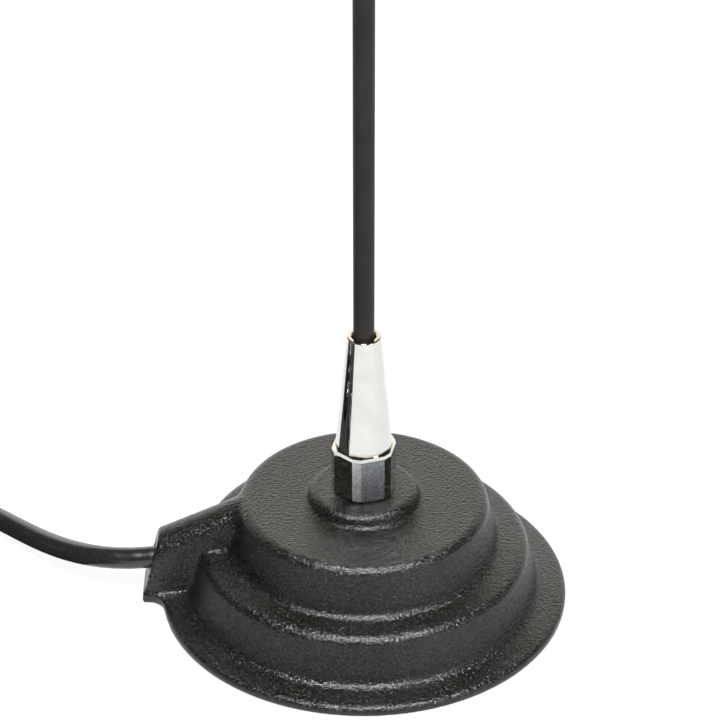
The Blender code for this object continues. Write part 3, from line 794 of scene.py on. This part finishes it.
def fill_inner_corners(mesh):
    """Smoothing that only ever adds material, so inner corners fill and outer edges stay."""
    edges = np.empty(len(mesh.edges) * 2, dtype=int)
    mesh.edges.foreach_get("vertices", edges)
    first, second = edges.reshape(-1, 2).T
    count = len(mesh.vertices)
    degree = np.bincount(first, minlength=count) + np.bincount(second, minlength=count)
    places = read(mesh, "co")
    for step in range(FILLET_STEPS):
        if step % 10 == 0:
            write(mesh, places)
            normals = read(mesh, "normal")
        mean = np.zeros_like(places)
        for axis in range(3):
            mean[:, axis] += np.bincount(first, places[second, axis], count)
            mean[:, axis] += np.bincount(second, places[first, axis], count)
        move = mean / degree[:, None] - places
        outward = np.maximum((move * normals).sum(axis=1), 0.0)
        places = places + 0.5 * outward[:, None] * normals
    write(mesh, places)


def onto_outline(places):
    """Moves points away from the hood to the exact turned outline, so that it has no ripples."""
    outline = np.array(filleted(SHELL_OUTLINE, 12))
    starts, ends = outline[:-1], outline[1:]
    runs = ends - starts
    lengths = (runs ** 2).sum(axis=1)
    radius = np.hypot(places[:, 0], places[:, 1])
    flat = np.column_stack([radius, places[:, 2]])
    best = np.full(len(flat), np.inf)
    target = flat.copy()
    for start, run, length in zip(starts, runs, lengths):
        share = np.clip(((flat - start) @ run) / length, 0.0, 1.0)
        near = start + share[:, None] * run
        distance = ((flat - near) ** 2).sum(axis=1)
        closer = distance < best
        best[closer] = distance[closer]
        target[closer] = near[closer]
    scale = target[:, 0] / np.maximum(radius, 1e-9)
    moved = np.column_stack([places[:, 0] * scale, places[:, 1] * scale, target[:, 1]])
    aside = np.clip((np.abs(places[:, 1]) - ROUND_ZONE) / ROUND_FADE, 0.0, 1.0)
    ahead = np.clip((places[:, 0] - HOOD_INNER_X) / HOOD_FADE, 0.0, 1.0)
    weight = np.maximum(aside, ahead)
    return places + (moved - places) * weight[:, None]


def uneven(mesh, depth):
    """The slight unevenness of a casting, and the fine flash along the hood's parting line."""
    places = read(mesh, "co")
    normals = read(mesh, "normal")
    heights = np.array([
        noise.noise(Vector(place) * 260.0) + 0.6 * noise.noise(Vector(place) * 900.0)
        for place in places
    ]) * depth
    breaks = np.array([noise.noise(Vector(place) * 500.0) for place in places])
    seam = np.exp(-((places[:, 2] - SEAM_Z) / SEAM_HALF_WIDTH) ** 2)
    seam *= SEAM_HEIGHT + SEAM_RAGGEDNESS * breaks
    seam *= places[:, 0] < SEAM_INNER_X
    write(mesh, places + normals * (heights + seam)[:, None])


def screw_posts():
    """The posts under the ceiling: (x, y), radius, foot, and the screw hole's radius and end."""
    for number in range(3):
        angle = math.radians(120 * number)
        yield (0.014 * math.cos(angle), 0.014 * math.sin(angle)), 0.0034, 0.0105, 0.0016, 0.0205
    for y in (0.0064, -0.0064):
        yield (-0.0205, y), 0.0024, 0.0145, 0.00135, 0.0210
    yield (-0.0145, -0.0090), 0.0028, 0.0184, 0.00135, 0.0226


def moved_mesh(mesh, x, y, z=0.0):
    for vertex in mesh.vertices:
        vertex.co += Vector((x, y, z))
    return mesh


def make_shell():
    skin = cast_outside()
    write(skin, onto_outline(read(skin, "co")))
    uneven(skin, UNEVENNESS)

    hollow = turned("hollow", [
        (0.0, 0.0300), (0.0060, 0.0300), (0.0060, 0.0270), (0.0046, 0.0270), (0.0046, CEILING_Z),
        (0.0256, CEILING_Z), (0.0282, SHELF_CEILING_Z), (0.0363, SHELF_CEILING_Z), (0.0370, 0.0010),
        (0.0450, 0.0010), (0.0450, -0.0010), (0.0, -0.0010),
    ], 128)
    posts = []
    holes = []
    for (x, y), radius, foot, hole_radius, hole_top in screw_posts():
        top = CEILING_Z + 0.0009
        post = turned("post", [(0, top), (radius, top), (radius, foot), (0, foot)], 32)
        posts.append(("DIFFERENCE", moved_mesh(post, x, y)))
        below = foot - 0.002
        hole = turned("hole", [
            (0, hole_top), (hole_radius, hole_top), (hole_radius, below), (0, below),
        ], 24)
        holes.append(("DIFFERENCE", moved_mesh(hole, x, y)))
    inside = combined("inside", hollow, posts)

    tunnel_route, _ = smooth_route([
        (-0.0560, 0, 0.0086), (-0.0509, 0, 0.0091), (-0.0454, 0, 0.00985), (-0.0440, 0, 0.0103),
        (-0.0400, 0, 0.0119), (-0.0360, 0, 0.0138), (-0.0310, 0, 0.0157), (-0.0250, 0, 0.0170),
    ], 0.002)
    recess = turned("recess", [
        (0, RECESS_END), (RECESS_R, RECESS_END), (RECESS_R, RECESS_START), (0, RECESS_START),
    ], 40)
    tilt = math.radians(90 - OUTLET_SLOPE)
    for vertex in recess.vertices:
        x, y, z = vertex.co
        vertex.co = (
            x * math.cos(tilt) + z * math.sin(tilt) + OUTLET_PLACE[0],
            y,
            -x * math.sin(tilt) + z * math.cos(tilt) + OUTLET_PLACE[2],
        )
    shell = combined("cast_shell", skin, [("DIFFERENCE", inside)] + holes + [
        ("DIFFERENCE", tube_mesh("tunnel", tunnel_route, TUNNEL_R)),
        ("DIFFERENCE", recess),
    ])
    shade(shell, 40.0)
    piece = new_piece("cast_shell", shell, "base", ["base_shell"])
    paint(piece, MATERIALS["black_cast"])


# ---------------------------------------------------------------- the ferrule and the whip

BEVEL_HEIGHT = 0.0007
BEVEL_INSET = 0.00021


def hexagon(apothem, corner_apothem, inset=0.0):
    """The ferrule's hexagon with its corners planed off, as twelve points."""
    outline = []
    for face in range(12):
        here, following = (apothem, corner_apothem) if face % 2 == 0 else (corner_apothem, apothem)
        here, following = here - inset, following - inset
        normal = HEX_TURN + face * math.pi / 6
        across = (following - here * math.cos(math.pi / 6)) / math.sin(math.pi / 6)
        outline.append((here * math.cos(normal) - across * math.sin(normal),
                        here * math.sin(normal) + across * math.cos(normal)))
    return outline


def hexagon_mesh():
    """The hexagon as stacked outlines, with a bright, nearly upright bevel round its top edge."""
    levels = [
        (HEX_BOTTOM_Z, 0.0),
        (HEX_TOP_Z - BEVEL_HEIGHT, 0.0),
        (HEX_TOP_Z, BEVEL_INSET),
    ]
    return stacked("hexagon", [
        [(x, y, z) for x, y in hexagon(HEX_APOTHEM, HEX_CORNER_APOTHEM, inset)] for z, inset in levels
    ])


def make_ferrule():
    chamfer = turned("chamfer", [
        (0, 0.0500), (0.0100, 0.0500), (0.0100, HEX_BOTTOM_Z + 0.0016), (0.0070, HEX_BOTTOM_Z - 0.00005),
        (0, HEX_BOTTOM_Z - 0.00005),
    ], 96)
    cone = turned("cone", filleted([
        (0, FERRULE_TOP_Z, 0), (CONE_TOP_R, FERRULE_TOP_Z, 0.0003), (CONE_FOOT_R, HEX_TOP_Z + 0.0002, 0),
        (CONE_FOOT_R + 0.00025, HEX_TOP_Z - 0.0002, 0), (0, HEX_TOP_Z - 0.0002, 0),
    ], 14), 96)
    bore = turned("bore", [
        (0, FERRULE_TOP_Z + 0.001), (WHIP_BORE_R + 0.0003, FERRULE_TOP_Z + 0.001),
        (WHIP_BORE_R + 0.0003, FERRULE_TOP_Z), (WHIP_BORE_R, FERRULE_TOP_Z - 0.0003),
        (WHIP_BORE_R, 0.0520), (0.00175, 0.0520), (0.00175, 0.0460), (0, 0.0460),
    ], 64)
    stud_hole = turned("stud_hole", [
        (0, 0.0410), (0.00302, 0.0410), (0.00302, 0.0314), (0.0052, 0.0314), (0.0052, 0.0280),
        (0, 0.0280),
    ], 64)
    mesh = combined("ferrule", hexagon_mesh(), [
        ("INTERSECT", chamfer), ("UNION", cone), ("DIFFERENCE", bore), ("DIFFERENCE", stud_hole),
    ])
    shade(mesh, 11.0)
    ferrule = new_piece("ferrule", mesh, "whip", ["whip_ferrule"])
    paint(ferrule, MATERIALS["chrome"], DARK_FACET_CHROME, BRIGHT_FACET_CHROME)
    # Painted reflection: the wide facet at HEX_TURN gets the darker chrome, the planed corner beside it
    # the brighter chrome, and the other faces plain chrome.
    for face in mesh.polygons:
        upright = abs(face.normal.z) < 0.15 and face.center.z < HEX_TOP_Z - BEVEL_HEIGHT / 2
        if upright and HEX_BOTTOM_Z + 0.0005 < face.center.z:
            dark_facet = face.normal.dot(Vector((math.cos(HEX_TURN), math.sin(HEX_TURN), 0.0)))
            bright_facet_normal = HEX_TURN - math.radians(30)
            bright_facet = face.normal.dot(Vector((math.cos(bright_facet_normal), math.sin(bright_facet_normal), 0.0)))
            face.material_index = 1 if dark_facet > 0.97 else 2 if bright_facet > 0.97 else 0


def make_sleeve():
    low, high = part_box("whip_sleeve")
    radius = 0.002325
    inner = 0.00195
    edge = 0.00012
    outline = [
        (inner, high.z), (radius - edge, high.z), (radius, high.z - edge), (radius, low.z + edge),
        (radius - edge, low.z), (inner, low.z),
    ]
    mesh = turned("sleeve", outline, 64)
    shade(mesh)
    sleeve = new_piece("sleeve", mesh, "whip", ["whip_sleeve"])
    paint(sleeve, MATERIALS["black_sleeve"])


def make_tip_cap():
    low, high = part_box("whip_tip_cap")
    radius = 0.003075
    hole = 0.002425
    mesh = turned("tip_cap", filleted([
        (0, high.z, 0), (radius, high.z, 0.0018), (radius, low.z, 0.0003), (hole, low.z, 0),
        (hole, high.z - 0.004, 0), (0, high.z - 0.004, 0),
    ], 8), 64)
    shade(mesh)
    cap = new_piece("tip_cap", mesh, "whip", ["whip_tip_cap"])
    paint(cap, MATERIALS["black_rubber"])


# ---------------------------------------------------------------- the stud

THREAD_R = 0.00295
THREAD_ROOT_R = 0.00242
THREAD_PITCH = 0.0010


def threaded_rod(name, low, high, steps=32):
    """A rod with a one-start thread: every ring of points follows the helix round the axis."""
    levels = 8
    profile = [0.0, 0.25, 0.7, 1.0, 1.0, 0.7, 0.25, 0.0]
    rows = round((high - low) / THREAD_PITCH * levels)
    rings = []
    for row in range(rows + 1):
        ring = []
        for side in range(steps):
            phase = (row / levels - side / steps) % 1.0 * levels
            first = int(phase) % levels
            share = phase - int(phase)
            crest = profile[first] * (1 - share) + profile[(first + 1) % levels] * share
            z = low + row * THREAD_PITCH / levels
            near_end = min(z - low, high - z) / 0.0007
            radius = THREAD_ROOT_R + (THREAD_R - THREAD_ROOT_R) * crest * min(max(near_end, 0.0), 1.0)
            angle = 2 * math.pi * side / steps
            ring.append((radius * math.cos(angle), radius * math.sin(angle), z))
        rings.append(ring)
    return stacked(name, rings)


def make_stud():
    low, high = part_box("contact_stud")
    collar = turned("collar", filleted([
        (0, 0.0310, 0), (0.0049, 0.0310, 0.0003), (0.0049, 0.0291, 0.0003), (0, 0.0291, 0),
    ], 4), 64)
    mesh = combined("stud", threaded_rod("thread", low.z, high.z), [("UNION", collar)])
    shade(mesh, 35.0)
    stud = new_piece("stud", mesh, "base", ["contact_stud"])
    paint(stud, MATERIALS["brass"])


# ---------------------------------------------------------------- the plug

PLUG_TURN = Matrix.Translation(PLUG_TIP) @ Matrix.Rotation(math.radians(90), 4, "Y")
KNURL_TEETH = 60
KNURL_R = 0.0092
KNURL_DEPTH = 0.00035


def knurled_mesh(name, low, high):
    """A sleeve with straight ridges along it, which run out at both ends."""
    rows = 10
    points = KNURL_TEETH * 2
    rings = []
    for row in range(rows + 1):
        z = low + (high - low) * row / rows
        ring = []
        for index in range(points):
            radius = KNURL_R if index % 2 == 0 else KNURL_R - KNURL_DEPTH
            if row in (0, rows):
                radius = KNURL_R - KNURL_DEPTH * 1.2
            angle = 2 * math.pi * index / points
            ring.append((radius * math.cos(angle), radius * math.sin(angle), z))
        rings.append(ring)
    return stacked(name, rings)


def make_coupling_ring():
    """Two knurled bands with plain ends and a plain waist, bored, with thread grooves inside."""
    core = turned("ring_core", filleted([
        (0, 0, 0), (0.0089, 0, 0.0004), (0.0089, -0.0190, 0.0004), (0, -0.0190, 0),
    ], 4), 96)
    bore_r = 0.0078
    groove_r = 0.00815
    bore = [(0, 0.001), (bore_r + 0.0005, 0.001), (bore_r + 0.0005, 0.0), (bore_r, -0.0005)]
    pitch = 0.00106
    for turn in range(9):
        top = -0.0012 - turn * pitch
        bore += [(bore_r, top), (groove_r, top - 0.35 * pitch), (bore_r, top - 0.7 * pitch)]
    bore += [(bore_r, -0.0170), (0.0064, -0.0170), (0.0064, -0.0200), (0, -0.0200)]
    mesh = combined("coupling_ring", core, [
        ("UNION", knurled_mesh("front_knurl", -0.0085, -0.0014)),
        ("UNION", knurled_mesh("back_knurl", -0.0178, -0.0105)),
        ("DIFFERENCE", turned("ring_bore", bore, 96)),
    ])
    mesh.transform(PLUG_TURN)
    shade(mesh, 30.0)
    ring = new_piece("coupling_ring", mesh, "plug_ring", ["plug_coupling_ring"])
    paint(ring, PLUG_PLATE)
    return ring


def make_plug_piece(name, outline, material, replaced, steps=6):
    mesh = turned(name, filleted(outline, steps), 72, PLUG_TURN)
    shade(mesh)
    piece = new_piece(name, mesh, "base", [replaced])
    paint(piece, material)
    return piece


def make_plug():
    """The plug's turned pieces, with their edges broken as a lathe leaves them."""
    pieces = [make_coupling_ring()]
    pieces.append(make_plug_piece("body_of_plug", [
        (0.0043, -0.0102, 0), (0.0069, -0.0102, 0.0003), (0.0069, -0.0167, 0.0003),
        (0.0061, -0.0167, 0.0001), (0.0061, -0.0215, 0.0003), (0.0057, -0.0219, 0.0002),
        (0.0057, -0.0232, 0.0002),
        (0.0061, -0.0236, 0.0003), (0.0061, -0.0300, 0.0004), (0.0032, -0.0300, 0), (0.0032, -0.0206, 0),
        (0.0043, -0.0206, 0),
    ], PLUG_PLATE, "plug_body"))
    pieces.append(make_plug_piece("pin_of_plug", [
        (0, -0.0005, 0), (0.0012, -0.0005, 0.0004), (0.00198, -0.0018, 0.0006),
        (0.00198, -0.0216, 0.0002),
        (0, -0.0216, 0),
    ], PLUG_PLATE, "plug_pin"))
    pieces.append(make_plug_piece("reducer_of_plug", [
        (0.0018, -0.0303, 0), (0.0059, -0.0303, 0.0003), (0.0059, -0.0336, 0.0003),
        (0.0040, -0.0336, 0.0002),
        (0.0040, -0.0361, 0.0002), (0.0018, -0.0361, 0),
    ], PLUG_PLATE, "plug_reducer"))
    boot = [(0.0028, -0.0365, 0), (0.0049, -0.0365, 0.0006)]
    for rib in range(4):
        z = -0.0385 - rib * 0.0022
        wide = 0.0047 - rib * 0.00032
        boot += [
            (wide, z, 0.0002), (wide - 0.0006, z - 0.0004, 0.0002),
            (wide - 0.0006, z - 0.0012, 0.0002), (wide - 0.0002, z - 0.0016, 0.0002),
        ]
    boot += [(0.0036, -0.0480, 0.0004), (0.0028, -0.0480, 0)]
    rubber = MATERIALS["black_rubber"]
    pieces.append(make_plug_piece("boot_of_plug", boot, rubber, "plug_boot"))
    return pieces


# ---------------------------------------------------------------- stage

FLOOR_SIZE = 12.0


def make_floor():
    """A pale table that glows a little, as a light table does, so that shadows on it stay faint."""
    bpy.ops.mesh.primitive_plane_add(size=FLOOR_SIZE, location=(0, 0, -0.0002))
    floor = bpy.context.object
    floor.name = "floor"
    look = Look("floor")
    tone = look.noise(3, 2.0)
    look.colour(look.span(tone, 0.0, 1.0), (0.060, 0.060, 0.060), (0.064, 0.064, 0.064))
    look.set(Roughness=0.8, Emission_Color=(1.0, 1.0, 1.0, 1.0), Emission_Strength=0.93)
    floor.data.materials.append(look.material)


def make_dark_card(start, end, inner, outer):
    """A black card flat on the table, between two angles round the whip, for the chrome to show."""
    shape = bmesh.new()
    steps = 16
    arcs = []
    for radius in (inner, outer):
        arc = []
        for step in range(steps + 1):
            angle = math.radians(start + (end - start) * step / steps)
            arc.append(shape.verts.new((radius * math.cos(angle), radius * math.sin(angle), 0.0002)))
        arcs.append(arc)
    for step in range(steps):
        shape.faces.new((arcs[0][step], arcs[0][step + 1], arcs[1][step + 1], arcs[1][step]))
    bmesh.ops.recalc_face_normals(shape, faces=shape.faces)
    mesh = bpy.data.meshes.new("dark_card")
    shape.to_mesh(mesh)
    shape.free()
    card = bpy.data.objects.new("dark_card", mesh)
    bpy.context.scene.collection.objects.link(card)
    look = Look("dark_card")
    look.colour(look.span(look.noise(40), 0.0, 1.0), (0.004, 0.004, 0.005), (0.007, 0.007, 0.009))
    look.set(Roughness=0.9)
    mesh.materials.append(look.material)
    card.visible_camera = False
    card.visible_shadow = False
    card.visible_diffuse = False


def area_light(name, place, target, size, power):
    data = bpy.data.lights.new(name, "AREA")
    data.shape = "RECTANGLE"
    data.size, data.size_y = size
    data.energy = power
    lamp = bpy.data.objects.new(name, data)
    lamp.location = place
    direction = Vector(target) - Vector(place)
    lamp.rotation_euler = direction.to_track_quat("-Z", "Y").to_euler()
    lamp.visible_camera = False
    bpy.context.scene.collection.objects.link(lamp)


def make_room():
    """The room's own light: bright behind the object and above it, dim on the side it is seen from."""
    scene = bpy.context.scene
    scene.view_settings.view_transform = "Standard"
    world = bpy.data.worlds.new("studio")
    world.use_nodes = True
    scene.world = world
    tree = world.node_tree
    background = tree.nodes["Background"]
    background.inputs["Color"].default_value = (1.0, 0.985, 0.945, 1.0)
    place = tree.nodes.new("ShaderNodeTexCoord")
    split = tree.nodes.new("ShaderNodeSeparateXYZ")
    tree.links.new(place.outputs["Generated"], split.inputs["Vector"])

    def ramp(value, start, end, low, high):
        node = tree.nodes.new("ShaderNodeMapRange")
        node.interpolation_type = "SMOOTHSTEP"
        for key, number in zip(("From Min", "From Max", "To Min", "To Max"), (start, end, low, high)):
            node.inputs[key].default_value = number
        tree.links.new(value, node.inputs["Value"])
        return node.outputs["Result"]

    def combine(operation, first, second):
        node = tree.nodes.new("ShaderNodeMath")
        node.operation = operation
        for socket, value in zip(node.inputs, (first, second)):
            if isinstance(value, float):
                socket.default_value = value
            else:
                tree.links.new(value, socket)
        return node.outputs[0]

    behind = ramp(split.outputs["Y"], 0.60, 0.80, 0.0, 1.0)
    low = ramp(split.outputs["Z"], 0.56, 0.76, 1.0, 0.0)
    wall = combine("MULTIPLY", combine("MULTIPLY", behind, low), 1.65)
    light = combine("ADD", wall, 0.05)
    path = tree.nodes.new("ShaderNodeLightPath")
    seen = combine("MAXIMUM", light, path.outputs["Is Camera Ray"])
    tree.links.new(seen, background.inputs["Strength"])


def make_light():
    make_room()
    area_light("top_softbox", (0.03, -0.55, 1.15), (0, 0, 0.02), (0.32, 0.24), 36.0)
    area_light("side_softbox", (1.1, -1.0, 0.55), (0, 0, 0.02), (0.4, 0.5), 5.0)


make_shell()
make_ferrule()
make_sleeve()
make_tip_cap()
make_stud()
PLUG = make_plug()
make_floor()
make_dark_card(154.0, 212.0, 0.066, 0.26)
make_light()
